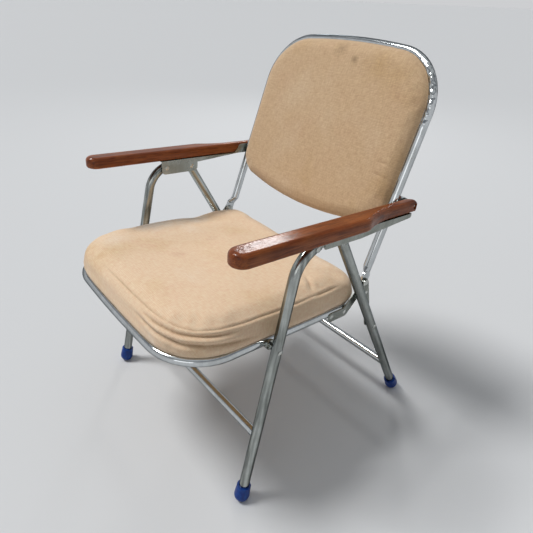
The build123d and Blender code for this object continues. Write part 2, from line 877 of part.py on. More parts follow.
with BuildPart() as link_foot_rivet_left:
    add(rivet(link_pivot, link_in, leg_x + leg_d / 2, rivet_r, head_r, 0, head_h).part)
    with BuildSketch(side_plane(link_in)):
        with Locations(link_pivot):
            Circle(countersink_r)
    with BuildSketch(side_plane(link_in + countersink_h)):
        with Locations(link_pivot):
            Circle(rivet_r)
    loft()

# ---------------------------------------------------------------- write the parts
os.makedirs("parts", exist_ok=True)

side_pieces = {
    "arm": arm_wood_left,
    "arm_bracket": arm_bracket_left,
    "front_leg": front_leg_left,
    "front_foot": front_foot_left,
    "rear_leg": rear_leg_left,
    "rear_foot": rear_foot_left,
    "hinge_plate": hinge_plate_left,
    "seat_lug": seat_lug_left,
    "back_clip": back_clip_left,
    "link": link_left,
}
for name, piece in side_pieces.items():
    save(piece, f"{name}_left")
    save(mirrored(piece), f"{name}_right")

fastener_pairs = {
    "arm_screws": arm_screws_left,
    "front_leg_rivets": front_leg_rivet_left,
    "rear_leg_rivets": rear_leg_rivet_left,
    "leg_washers": leg_washers_left,
    "arm_end_rivets": arm_end_rivet_left,
    "arm_end_washers": arm_end_washer_left,
    "seat_pivot_bolts": seat_pivot_bolt_left,
    "seat_pivot_nuts": seat_pivot_nut_left,
    "hinge_bolts": hinge_bolt_left,
    "hinge_nuts": hinge_nut_left,
    "link_top_rivets": link_top_rivets_left,
    "link_foot_rivets": link_foot_rivet_left,
}
for name, piece in fastener_pairs.items():
    save(both_sides(piece), name)

middle_pieces = {
    "front_crossbar": front_crossbar,
    "rear_crossbar": rear_crossbar,
    "seat_frame": seat_frame,
    "seat_board": seat_board,
    "seat_board_screws": seat_board_screws,
    "seat_cushion": seat_cushion,
    "hinge_plate_rivets": hinge_plate_rivets,
    "back_frame": back_frame,
    "back_board": back_board,
    "back_board_screws": back_board_screws,
    "back_pad": back_pad,
}
for name, piece in middle_pieces.items():
    save(piece, name)
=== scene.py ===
"""Finishes, upholstery and studio for a folding armchair of steel tube.

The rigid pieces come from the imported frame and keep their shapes: this file gives them their
finishes. The seat cushion and the back pad are blanks cut from their solids, swollen by a cloth
simulation, then seamed and creased. Names that end in _mm are millimetres, and Blender's own
units are metres.
"""

from __future__ import annotations

import json
import logging
import math
from dataclasses import dataclass, replace
from enum import Enum
from typing import Any, Sequence

import bmesh
import bpy
import numpy as np
from mathutils import Matrix, Vector, noise


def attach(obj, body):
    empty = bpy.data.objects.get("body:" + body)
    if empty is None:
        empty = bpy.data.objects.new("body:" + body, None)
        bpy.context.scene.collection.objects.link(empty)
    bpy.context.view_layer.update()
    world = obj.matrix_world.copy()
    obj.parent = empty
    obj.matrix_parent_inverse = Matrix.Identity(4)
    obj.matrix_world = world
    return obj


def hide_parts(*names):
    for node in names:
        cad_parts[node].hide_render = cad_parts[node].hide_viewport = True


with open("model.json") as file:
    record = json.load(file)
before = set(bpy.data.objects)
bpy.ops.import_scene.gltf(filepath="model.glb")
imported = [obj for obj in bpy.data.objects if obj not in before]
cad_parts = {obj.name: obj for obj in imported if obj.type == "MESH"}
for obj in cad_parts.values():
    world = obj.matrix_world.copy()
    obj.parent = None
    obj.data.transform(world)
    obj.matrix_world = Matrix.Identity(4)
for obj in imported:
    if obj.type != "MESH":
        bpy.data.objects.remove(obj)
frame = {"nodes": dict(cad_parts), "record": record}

log = logging.getLogger("armchair")
MM = 0.001
Socket = bpy.types.NodeSocket
Triple = tuple[float, float, float]


class Slot(Enum):
    """Material slots of the record."""

    ARM_WOOD = "arm_wood"
    CHROME_TUBE = "chrome_tube"
    LEG_TUBE = "leg_tube"
    PLATED_SHEET = "plated_sheet"
    FASTENER_STEEL = "fastener_steel"
    FOOT_VINYL = "foot_vinyl"
    COVER_CLOTH = "cover_cloth"
    PLYWOOD = "plywood"


# ---------------- shader helpers
def linear(code: str) -> tuple[float, float, float, float]:
    """Turn an sRGB hex colour into the linear colour that shaders use.

    Args:
        code: Colour such as "#D3B28C".

    Returns:
        Red, green, blue and an alpha of 1.
    """
    raw = [int(code[i : i + 2], 16) / 255 for i in (1, 3, 5)]
    red, green, blue = [c / 12.92 if c <= 0.04045 else ((c + 0.055) / 1.055) ** 2.4 for c in raw]
    return (red, green, blue, 1.0)


def add_node(
    tree: bpy.types.NodeTree, kind: str, inputs: dict[Any, Any], **settings: Any
) -> bpy.types.Node:
    """Add a node with its settings, its values and its links.

    Args:
        tree: Node tree that the node joins.
        kind: Blender's name for the node type.
        inputs: Socket name or index to a plain value or to another node's output socket.
        **settings: Attributes of the node itself.

    Returns:
        The new node.
    """
    node = tree.nodes.new(kind)
    for name, value in settings.items():
        setattr(node, name, value)
    for name, value in inputs.items():
        if isinstance(value, Socket):
            tree.links.new(value, node.inputs[name])
        else:
            node.inputs[name].default_value = value
    return node


def waves_per_metre(spacing_mm: float) -> float:
    """Scale of a texture in metres whose features repeat at a real spacing."""
    return 1.0 / (spacing_mm * MM)


@dataclass(frozen=True)
class Graph:
    """Node tree of a finish, with the few kinds of node that the finishes are made of.

    Each method adds one node and returns its output. Shares and patterns run from 0 to 1.
    """

    tree: bpy.types.NodeTree
    place: Socket  # coordinates in metres

    def add(self, kind: str, output: str | int, inputs: dict[Any, Any], **settings: Any) -> Socket:
        """Add a node of a kind and return one of its outputs."""
        return add_node(self.tree, kind, inputs, **settings).outputs[output]

    def noise(
        self, spacing_mm: float, detail: float, place: Socket | None = None, **more: float
    ) -> Socket:
        """Add a cloudy pattern.

        Args:
            spacing_mm: Distance from one feature to the next.
            detail: How many times finer the pattern goes on.
            place: Coordinates, or None for the chair's own.
            **more: Further inputs of the texture. W takes another slice of the pattern.

        Returns:
            The pattern.
        """
        inputs = {"Vector": self.place if place is None else place, "Detail": detail, **more}
        inputs["Scale"] = waves_per_metre(spacing_mm)
        settings = {"noise_dimensions": "4D"} if "W" in more else {}
        return self.add("ShaderNodeTexNoise", "Fac", inputs, **settings)

    def away(self, centre_mm: Sequence[float]) -> Socket:
        """Distance in metres from one place on the chair."""
        inputs = {0: self.place, 1: [c * MM for c in centre_mm]}
        return self.add("ShaderNodeVectorMath", "Value", inputs, operation="DISTANCE")

    def drawn_out(self, stretch: Triple, lean_deg: float = 0.0) -> Socket:
        """Coordinates that stretch a pattern along a piece that leans about X.

        Args:
            stretch: How many times longer the pattern gets along x, y and z.
            lean_deg: The piece's turn about X.

        Returns:
            The coordinates.
        """
        turn = (math.radians(lean_deg), 0, 0)
        inputs = {"Vector": self.place, "Rotation": turn, "Scale": stretch}
        return self.add("ShaderNodeMapping", "Vector", inputs, vector_type="TEXTURE")

    def maths(self, operation: str, *values: Socket | float, clamp: bool = False) -> Socket:
        """Result of one operation, held to 0 to 1 where clamp says so."""
        settings = {"operation": operation, "use_clamp": clamp}
        return self.add("ShaderNodeMath", 0, dict(enumerate(values)), **settings)

    def remap(
        self, value: Socket, given: tuple[float, float], wanted: tuple[float, float] = (0.0, 1.0)
    ) -> Socket:
        """Value moved from a given range to a wanted one, and held inside it."""
        names = ("Value", "From Min", "From Max", "To Min", "To Max")
        return self.add("ShaderNodeMapRange", "Result", dict(zip(names, (value, *given, *wanted))))

    def ramp(self, share: Socket, stops: Sequence[tuple[float, str]]) -> Socket:
        """Add a colour that follows a share.

        Args:
            share: The share.
            stops: Position and sRGB hex colour of each stop, in rising order.

        Returns:
            The colour.
        """
        node = add_node(self.tree, "ShaderNodeValToRGB", {"Fac": share})
        ramp = node.color_ramp
        while len(ramp.elements) < len(stops):
            ramp.elements.new(1.0)
        for element, (position, code) in zip(ramp.elements, stops):
            element.position = position
            element.color = linear(code)
        return node.outputs["Color"]

    def mix(self, share: Socket | float, under: Any, over: Any, blend: str = "MIX") -> Socket:
        """One colour laid over another, as far as the share says."""
        inputs = {0: share, 6: under, 7: over}
        return self.add("ShaderNodeMix", 2, inputs, data_type="RGBA", blend_type=blend)

    def bump(
        self, share: Socket, strength: float, height_mm: float, inward: bool = False, **more: Socket
    ) -> Socket:
        """Shaded relief, a share of its full height, over the Normal that is given with it."""
        inputs = {"Height": share, "Strength": strength, "Distance": height_mm * MM, **more}
        return self.add("ShaderNodeBump", "Normal", inputs, invert=inward)


@dataclass(frozen=True)
class Finish:
    """What every finish shares: a name, and a start from Object coordinates."""

    name: str

    def make(self) -> bpy.types.Material:
        """Make the material and let the finish paint it.

        Returns:
            The finished material.
        """
        material = bpy.data.materials.new(self.name)
        material.use_nodes = True
        tree = material.node_tree
        shader = next(n for n in tree.nodes if n.type == "BSDF_PRINCIPLED")
        place = add_node(tree, "ShaderNodeTexCoord", {}).outputs["Object"]
        for name, socket in self.paint(Graph(tree, place), shader).items():
            tree.links.new(socket, shader.inputs[name])
        return material

    def paint(self, graph: Graph, shader: bpy.types.Node) -> dict[str, Socket]:
        """Set the shader's plain values and return its links. Each finish has its own way."""
        raise NotImplementedError


# ---------------- finishes
@dataclass(frozen=True)
class Stain:
    """Local mark on the cover, by its place on the chair and its reach, in millimetres."""

    centre_mm: Triple
    reach_mm: float
    share: float
    colour: str = "#7C6448"


@dataclass(frozen=True)
class WovenCloth(Finish):
    """Plain-woven cotton cover cloth, washed and sun-worn. It is dry, matt and faintly ribbed.

    The weave reads the cover's own UV map, which is unrolled in metres. A crease attribute from
    0 to 1 says where the cover is drawn in; there dust and painted shade darken the cloth.
    """

    name: str = "woven_cotton"
    base: str = "#EDCFAE"
    pale: str = "#F2DDC5"
    soiled: str = "#E2C096"
    flushed: str = "#E9C0A4"
    flushed_share: float = 0.4
    # Colour that the creases darken towards: partly dust, partly painted shade.
    crease_dust_and_shade: str = "#9A7650"
    dust_and_shade_share: float = 0.75
    # Real threads are about 0.5 mm apart. They are drawn coarser so that they show.
    thread_mm: float = 3.2
    thread_share: float = 0.16
    slub_mm: float = 30.0
    slub_share: float = 0.24
    # A slub is five times longer along its thread than across it.
    slub_scale: float = 0.2
    blotch_mm: float = 150.0
    flush_mm: float = 60.0
    ragged_mm: float = 16.0
    wrinkle_mm: float = 22.0
    stains: tuple[Stain, ...] = ()

    def paint(self, graph: Graph, shader: bpy.types.Node) -> dict[str, Socket]:
        """Weave, tone, stain and wrinkle the cloth.

        Args:
            graph: Graph of the finish.
            shader: Its shader.

        Returns:
            The shader's links, by the name of its input.
        """
        shader.inputs["Roughness"].default_value = 0.92
        shader.inputs["Specular IOR Level"].default_value = 0.2
        shader.inputs["Sheen Weight"].default_value = 0.2
        shader.inputs["Sheen Roughness"].default_value = 0.5
        settings = {"attribute_name": "crease", "attribute_type": "GEOMETRY"}
        crease = graph.add("ShaderNodeAttribute", "Fac", {}, **settings)
        unrolled = graph.add("ShaderNodeUVMap", "UV", {}, uv_map="unrolled")
        threads = self.threads(graph, unrolled)
        colour = self.stained(graph, self.toned(graph))
        # Painted shade, with some dust, darkens the cloth in the creases.
        dusty_and_shaded = graph.maths("MULTIPLY", crease, self.dust_and_shade_share, clamp=True)
        colour = graph.mix(dusty_and_shaded, colour, linear(self.crease_dust_and_shade))
        colour = graph.mix(self.thread_share, colour, threads, "MULTIPLY")
        colour = graph.mix(self.slub_share, colour, self.slubs(graph, unrolled), "OVERLAY")

        wrinkle = graph.noise(self.wrinkle_mm, 3.0, Distortion=0.9)
        folds = graph.bump(wrinkle, strength=0.2, height_mm=2.0)
        drawn_in = graph.bump(crease, strength=0.8, height_mm=2.0, inward=True, Normal=folds)
        ribs = graph.bump(threads, strength=0.35, height_mm=0.5, Normal=drawn_in)
        return {"Base Color": colour, "Normal": ribs}

    def toned(self, graph: Graph) -> Socket:
        """Vary the cloth slowly between worn, plain, soiled and flushed areas.

        Args:
            graph: Graph of the cloth.

        Returns:
            Colour of the cloth before its stains.
        """
        stops = ((0.25, self.soiled), (0.46, self.base), (0.56, self.base), (0.78, self.pale))
        tone = graph.ramp(graph.noise(self.blotch_mm, 6.0), stops)
        flush = graph.noise(self.flush_mm, 6.0, W=3.7)
        share = graph.remap(flush, given=(0.52, 0.8), wanted=(0.0, self.flushed_share))
        return graph.mix(share, tone, linear(self.flushed))

    def stained(self, graph: Graph, colour: Socket) -> Socket:
        """Lay the local marks over the cloth, each with a ragged edge.

        Args:
            graph: Graph of the cloth.
            colour: Colour of the clean cloth.

        Returns:
            Colour of the marked cloth.
        """
        ragged = graph.noise(self.ragged_mm, 6.0)
        for stain in self.stains:
            reach = stain.reach_mm * MM
            edge = graph.maths("MULTIPLY_ADD", ragged, reach, graph.away(stain.centre_mm))
            share = graph.remap(edge, given=(reach * 1.6, reach * 0.5), wanted=(0.0, stain.share))
            colour = graph.mix(share, colour, linear(stain.colour))
        return colour

    def slubs(self, graph: Graph, unrolled: Socket) -> Socket:
        """Spin the threads unevenly, so that short lengths of them are paler or darker.

        Args:
            graph: Graph of the cloth.
            unrolled: The cloth's own coordinates in metres.

        Returns:
            Grey around one half, for overlaying on the colour.
        """
        lengths = []
        for scale in ((1.0, self.slub_scale, 1.0), (self.slub_scale, 1.0, 1.0)):
            along = graph.add("ShaderNodeMapping", "Vector", {"Vector": unrolled, "Scale": scale})
            lengths.append(graph.noise(self.thread_mm, 2.0, along))
        return graph.remap(graph.maths("ADD", *lengths), given=(0.7, 1.3), wanted=(0.2, 0.8))

    def threads(self, graph: Graph, unrolled: Socket) -> Socket:
        """Cross warp and weft threads, and let one or the other lie on top.

        Args:
            graph: Graph of the cloth.
            unrolled: The cloth's own coordinates in metres.

        Returns:
            Grey that is white on a thread's crown.
        """
        # A Wave texture repeats every pi / 10 at a scale of 1.
        scale = waves_per_metre(self.thread_mm) * math.pi / 10
        inputs = {"Vector": unrolled, "Scale": scale, "Distortion": 0.8, "Detail": 1.0}
        warp, weft = [
            graph.add("ShaderNodeTexWave", "Color", inputs, bands_direction=axis) for axis in "XY"
        ]
        return graph.mix(graph.noise(self.slub_mm, 4.0, unrolled), warp, weft)


@dataclass(frozen=True)
class VarnishedWood(Finish):
    """Rosewood-stained hardwood, shaped and brush-varnished. It gives dark streaks under gloss."""

    name: str = "varnished_hardwood"
    dark: str = "#5C280E"
    middle: str = "#84421C"
    light: str = "#A25B2D"
    pored: str = "#7A706A"
    pored_share: float = 0.6
    worn: str = "#A86434"
    worn_share: float = 0.45
    figure_mm: float = 16.0
    pore_mm: float = 1.8
    worn_mm: float = 55.0
    brush_mm: float = 5.0
    # The grain runs along the arm, which slopes down to the rear.
    grain_stretch: float = 20.0
    slope_deg: float = -4.2

    def paint(self, graph: Graph, shader: bpy.types.Node) -> dict[str, Socket]:
        """Grain, wear and varnish the wood.

        Args:
            graph: Graph of the finish.
            shader: Its shader.

        Returns:
            The shader's links, by the name of its input.
        """
        shader.inputs["Roughness"].default_value = 0.42
        shader.inputs["Specular IOR Level"].default_value = 0.1
        shader.inputs["Coat Weight"].default_value = 0.35
        shader.inputs["Coat Roughness"].default_value = 0.1
        shader.inputs["Coat IOR"].default_value = 1.5

        along = graph.drawn_out((1.0, self.grain_stretch, 1.0), self.slope_deg)
        figure = graph.noise(self.figure_mm, 8.0, along, Distortion=0.6)
        tone = graph.ramp(figure, ((0.30, self.dark), (0.50, self.middle), (0.74, self.light)))
        pores = graph.noise(self.pore_mm, 4.0, along)
        streaks = graph.ramp(pores, ((0.34, self.pored), (0.56, "#FFFFFF")))
        colour = graph.mix(self.pored_share, tone, streaks, "MULTIPLY")
        # Hands have worn the varnish paler in patches.
        patches = graph.noise(self.worn_mm, 5.0)
        worn = graph.remap(patches, given=(0.5, 0.8), wanted=(0.0, self.worn_share))
        colour = graph.mix(worn, colour, linear(self.worn))

        varnish = graph.bump(graph.noise(self.brush_mm, 3.0), strength=0.25, height_mm=1.2)
        grain = graph.bump(pores, strength=0.2, height_mm=0.4, Normal=varnish)
        return {"Base Color": colour, "Normal": grain, "Coat Normal": varnish}


@dataclass(frozen=True)
class PlatedSteel(Finish):
    """Electroplated steel. Age gives it a broken, wavy mirror with pits and rust freckles."""

    name: str = "plated_steel"
    metal: str = "#D2D6D8"
    tarnish: str = "#A2A5A0"
    tarnish_share: float = 0.35
    rust: str = "#5B3F2C"
    rust_share: float = 0.4
    # Tint at a glancing angle, darker than the plating's own: painted shade along an outline.
    glancing: str = "#85898D"
    # Dark streaks run along a leg, which leans about X.
    streak: str = "#3C3F3E"
    streak_share: float = 0.1
    streak_mm: float = 8.0
    streak_stretch: float = 22.0
    lean_deg: float = 0.0
    roughness: float = 0.07
    roughness_spread: float = 0.12
    patch_mm: float = 45.0
    freckle_mm: float = 4.0
    wave_mm: float = 30.0
    ripple: float = 0.12
    # Blisters, in the one place where the plating was bent and has lifted.
    crazed_at_mm: Triple = (0.0, 0.0, 0.0)
    crazed_reach_mm: float = 0.0
    crazed_core: float = 0.6
    crazing_mm: float = 13.0

    def paint(self, graph: Graph, shader: bpy.types.Node) -> dict[str, Socket]:
        """Tarnish, wipe, rust and dent the plating.

        Args:
            graph: Graph of the finish.
            shader: Its shader.

        Returns:
            The shader's links, by the name of its input.
        """
        shader.inputs["Metallic"].default_value = 1.0
        # Chromium reflects a little less at a glancing angle; this tint is far darker, so a tube's
        # dark outline is largely painted shade.
        shader.inputs["Specular Tint"].default_value = linear(self.glancing)
        patch = graph.noise(self.patch_mm, 6.0)
        dulled = graph.remap(patch, given=(0.38, 0.70), wanted=(0.0, self.tarnish_share))
        colour = graph.mix(dulled, linear(self.metal), linear(self.tarnish))
        along = graph.drawn_out((1.0, 1.0, self.streak_stretch), self.lean_deg)
        streak_noise = graph.noise(self.streak_mm, 3.0, along)
        streaked = graph.remap(streak_noise, given=(0.35, 0.6), wanted=(0.0, self.streak_share))
        colour = graph.mix(streaked, colour, linear(self.streak))
        # Rust shows only where a freckle falls inside a dull patch.
        freckle = graph.noise(self.freckle_mm, 5.0, Roughness=0.7)
        both = graph.maths("MULTIPLY", freckle, patch)
        rusted = graph.remap(both, given=(0.36, 0.46), wanted=(0.0, self.rust_share))
        colour = graph.mix(rusted, colour, linear(self.rust))
        roughest = self.roughness + self.roughness_spread
        rough = graph.remap(patch, given=(0.3, 0.75), wanted=(self.roughness, roughest))

        bent = graph.bump(graph.noise(self.wave_mm, 2.0), strength=self.ripple, height_mm=2.0)
        normal = graph.bump(rusted, strength=0.15, height_mm=0.3, Normal=bent)
        if self.crazed_reach_mm > 0:
            reach = self.crazed_reach_mm * MM
            away = graph.away(self.crazed_at_mm)
            share = graph.remap(away, given=(reach, reach * self.crazed_core))
            height = graph.maths("MULTIPLY", graph.noise(self.crazing_mm, 0.5), share)
            normal = graph.bump(height, strength=0.8, height_mm=9.0, Normal=normal)
        return {"Base Color": colour, "Roughness": rough, "Normal": normal}


@dataclass(frozen=True)
class MouldedVinyl(Finish):
    """Dip-moulded soft vinyl. It gives a saturated, slightly waxy gloss with scuffs."""

    name: str = "moulded_vinyl"
    base: str = "#002F7C"
    scuffed: str = "#124A98"
    scuff_mm: float = 7.0

    def paint(self, graph: Graph, shader: bpy.types.Node) -> dict[str, Socket]:
        """Scuff the vinyl.

        Args:
            graph: Graph of the finish.
            shader: Its shader.

        Returns:
            The shader's links, by the name of its input.
        """
        shader.inputs["IOR"].default_value = 1.53
        shader.inputs["Specular IOR Level"].default_value = 0.3
        scuff = graph.noise(self.scuff_mm, 6.0)
        colour = graph.ramp(scuff, ((0.45, self.base), (0.75, self.scuffed)))
        rough = graph.remap(scuff, given=(0.35, 0.7), wanted=(0.3, 0.55))
        skin = graph.bump(scuff, strength=0.2, height_mm=0.6)
        return {"Base Color": colour, "Roughness": rough, "Normal": skin}


@dataclass(frozen=True)
class RawPlywood(Finish):
    """Rotary-cut plywood, sanded and left bare. It gives straight, broad grain and dry pores."""

    name: str = "raw_plywood"
    dark: str = "#A98155"
    light: str = "#C6A476"
    figure_mm: float = 14.0
    grain_stretch: float = 20.0

    def paint(self, graph: Graph, shader: bpy.types.Node) -> dict[str, Socket]:
        """Grain the plywood.

        Args:
            graph: Graph of the finish.
            shader: Its shader.

        Returns:
            The shader's links, by the name of its input.
        """
        shader.inputs["Roughness"].default_value = 0.8
        along = graph.drawn_out((self.grain_stretch, 1.0, 1.0))
        figure = graph.noise(self.figure_mm, 7.0, along, Distortion=0.4)
        colour = graph.ramp(figure, ((0.35, self.dark), (0.62, self.light)))
        pores = graph.bump(figure, strength=0.2, height_mm=0.5)
        return {"Base Color": colour, "Normal": pores}


# ---------------- mesh helpers
def mesh_points(mesh: bpy.types.Mesh) -> np.ndarray:
    """Positions of a mesh's points.

    Args:
        mesh: The mesh.

    Returns:
        The x, y and z of each point, one point a row.
    """
    flat = np.empty(len(mesh.vertices) * 3, np.float32)
    mesh.vertices.foreach_get("co", flat)
    return flat.reshape(-1, 3).astype(float)


def set_mesh_points(mesh: bpy.types.Mesh, places: np.ndarray) -> None:
    """Move a mesh's points to new positions."""
    mesh.vertices.foreach_set("co", places.astype(np.float32).ravel())
    mesh.update()


def new_object(name: str, data: Any) -> bpy.types.Object:
    """Put a mesh, lamp or camera into the scene.

    Args:
        name: Name of the new object.
        data: The mesh, lamp or camera.

    Returns:
        The new object.
    """
    thing = bpy.data.objects.new(name, data)
    bpy.context.scene.collection.objects.link(thing)
    return thing


def cut_below(shape: bmesh.types.BMesh, height_mm: float) -> None:
    """Cut away what lies under a height of the panel.

    Args:
        shape: The panel, in its own coordinates.
        height_mm: Height n of the cut.
    """
    bmesh.ops.bisect_plane(
        shape,
        geom=shape.verts[:] + shape.edges[:] + shape.faces[:],
        plane_co=(0, 0, height_mm * MM),
        plane_no=(0, 0, 1),
        clear_inner=True,
    )


def open_edges(geometry: Sequence[Any]) -> list[bmesh.types.BMEdge]:
    """Edges that have a face on one side only."""
    return [g for g in geometry if isinstance(g, bmesh.types.BMEdge) and g.is_boundary]


def extruded(
    shape: bmesh.types.BMesh, edges: Sequence[bmesh.types.BMEdge]
) -> tuple[list[bmesh.types.BMVert], list[Any]]:
    """Extrude a rim in place, and return the new rim's points and everything that is new."""
    new = bmesh.ops.extrude_edge_only(shape, edges=edges)["geom"]
    return [g for g in new if isinstance(g, bmesh.types.BMVert)], new


def eased(share: np.ndarray) -> np.ndarray:
    """Share from 0 to 1 that starts and ends gently."""
    return share * share * (3 - 2 * share)


# ---------------- soft pieces
@dataclass(frozen=True)
class PanelFrame:
    """Frame of a leaning panel: x across the chair, s along the panel, n out of its face."""

    origin_mm: tuple[float, float]  # y and z of its zero on the chair's middle plane
    along: tuple[float, float]  # unit direction of s as y and z
    out: tuple[float, float]  # unit direction of n as y and z

    def matrix(self) -> Matrix:
        """Work out how the panel lies on the chair.

        Returns:
            Matrix from panel coordinates to the chair's, in metres.
        """
        y, z = (c * MM for c in self.origin_mm)
        across = (1, 0, 0, 0)
        rearwards = (0, self.along[0], self.out[0], y)
        upwards = (0, self.along[1], self.out[1], z)
        return Matrix((across, rearwards, upwards, (0, 0, 0, 1)))

    def point(self, x: float, s: float, n: float) -> Triple:
        """Find where a place on the panel lies on the chair.

        Args:
            x: Its distance across the chair, in mm.
            s: Its distance along the panel, in mm.
            n: Its distance out of the panel's face, in mm.

        Returns:
            Its x, y and z on the chair, in mm.
        """
        y = self.origin_mm[0] + s * self.along[0] + n * self.out[0]
        z = self.origin_mm[1] + s * self.along[1] + n * self.out[1]
        return (x, y, z)


@dataclass(frozen=True)
class Crease:
    """Groove that follows a line of places on a panel, in panel millimetres."""

    line_mm: tuple[Triple, ...]  # places that it runs through
    depth_mm: float  # at its middle
    width_mm: float  # from its middle to where it is a third as deep
    swell_mm: float = 0.0  # height of the cloth that bulges beside it
    swell_at: float = 2.4  # distance of that bulge from the middle, in widths
    fade: float = 0.25  # share of its length over which each end runs out
    dust_and_shade: float = 0.8  # how much dust and painted shade its middle holds, from 0 to 1
    dust_and_shade_width: float = 0.6  # in widths of the groove
    finer: tuple[float, ...] = (0.0, 0.25, 0.5, 0.75)  # points added to each step of its line
    smoothing: int = 3  # rounds of smoothing of its line

    def laid(self, places: np.ndarray) -> np.ndarray:
        """Lay the crease's line on the nearest points of a surface.

        Args:
            places: Points of the surface in panel millimetres, one a row.

        Returns:
            The line's places on that surface.
        """
        line = []
        for start, end in zip(self.line_mm[:-1], self.line_mm[1:]):
            for share in self.finer:
                line.append(np.array(start) * (1 - share) + np.array(end) * share)
        line.append(np.array(self.line_mm[-1]))
        near = np.array([places[np.argmin(((places - p) ** 2).sum(axis=1))] for p in line])
        for _ in range(self.smoothing):
            near[1:-1] = near[1:-1] * 0.5 + (near[:-2] + near[2:]) * 0.25
        return near

    def press(self, places: np.ndarray) -> tuple[np.ndarray, np.ndarray]:
        """How far each place moves along its normal, and how deep in the crease it is.

        Args:
            places: Points in panel millimetres, one a row.

        Returns:
            Displacement in mm, negative in the groove, and a share from 0 to 1 for dust and painted
            shade.
        """
        line = self.laid(places)
        spans = np.linalg.norm(np.diff(line, axis=0), axis=1)
        nearest = np.full(len(places), np.inf)
        travel = np.zeros(len(places))
        for i, span in enumerate(spans):
            step = line[i + 1] - line[i]
            share = np.clip((places - line[i]) @ step / span**2, 0, 1)
            away = np.linalg.norm(places - line[i] - share[:, None] * step, axis=1)
            closer = away < nearest
            nearest = np.where(closer, away, nearest)
            travel = np.where(closer, spans[:i].sum() + share * span, travel)
        travel = travel / spans.sum()
        ends = eased(np.clip(np.minimum(travel, 1 - travel) / self.fade, 0, 1))
        away = nearest / self.width_mm
        groove = -self.depth_mm * np.exp(-(away**2))
        swell = self.swell_mm * np.exp(-((away - self.swell_at) ** 2))
        dust_and_shade = self.dust_and_shade * np.exp(-((away / self.dust_and_shade_width) ** 2))
        return ends * (groove + swell), ends * dust_and_shade


@dataclass(frozen=True)
class Dent:
    """Soft hollow, or a hump where its depth is negative, in panel millimetres."""

    x: float
    s: float
    reach_x: float
    reach_s: float
    depth: float

    def drop(self, places: np.ndarray) -> np.ndarray:
        """How far each place sinks along the panel's n.

        Args:
            places: Points in panel millimetres, one a row.

        Returns:
            Depth in mm at each place.
        """
        away = ((places[:, 0] - self.x) / self.reach_x) ** 2
        away = away + ((places[:, 1] - self.s) / self.reach_s) ** 2
        return self.depth * np.exp(-away)


@dataclass(frozen=True)
class Outline:
    """Rounded outline of a panel in its own plane, in millimetres."""

    half_width: float
    s_low: float
    s_high: float
    low_corner_r: float
    high_corner_r: float
    low_crown: float = 0.0  # how far the low side's ends lie inside its middle
    high_crown: float = 0.0  # the same for the high side

    @property
    def middle(self) -> float:
        """Middle of its length."""
        return (self.s_high + self.s_low) / 2

    @property
    def half_length(self) -> float:
        """Half of its length."""
        return (self.s_high - self.s_low) / 2

    def inset(self, places: np.ndarray) -> np.ndarray:
        """Distance from the outline, positive inside it.

        Args:
            places: Points in panel millimetres, one a row.

        Returns:
            Distance in mm for each place.
        """
        x = np.abs(places[:, 0])
        share = np.clip(x / self.half_width, 0, 1) ** 2
        rise = np.clip((places[:, 1] - self.s_low) / (self.s_high - self.s_low), 0, 1)
        s = places[:, 1] - self.low_crown * share * (1 - rise) + self.high_crown * share * rise
        corner = np.where(s < self.middle, self.low_corner_r, self.high_corner_r)
        across = x - (self.half_width - corner)
        along = np.abs(s - self.middle) - (self.half_length - corner)
        outside = np.hypot(np.maximum(across, 0), np.maximum(along, 0))
        return corner - outside - np.minimum(np.maximum(across, along), 0)

    def outward(self, places: np.ndarray, step: float = 2.0) -> np.ndarray:
        """Unit direction out of the outline.

        Args:
            places: Points in panel millimetres, one a row.
            step: Distance in mm over which the direction is measured.

        Returns:
            The direction's x and s for each place.
        """
        across = self.inset(places + [step, 0, 0]) - self.inset(places - [step, 0, 0])
        along = self.inset(places + [0, step, 0]) - self.inset(places - [0, step, 0])
        way = -np.stack((across, along), axis=1)
        return way / np.maximum(np.linalg.norm(way, axis=1, keepdims=True), 1e-6)


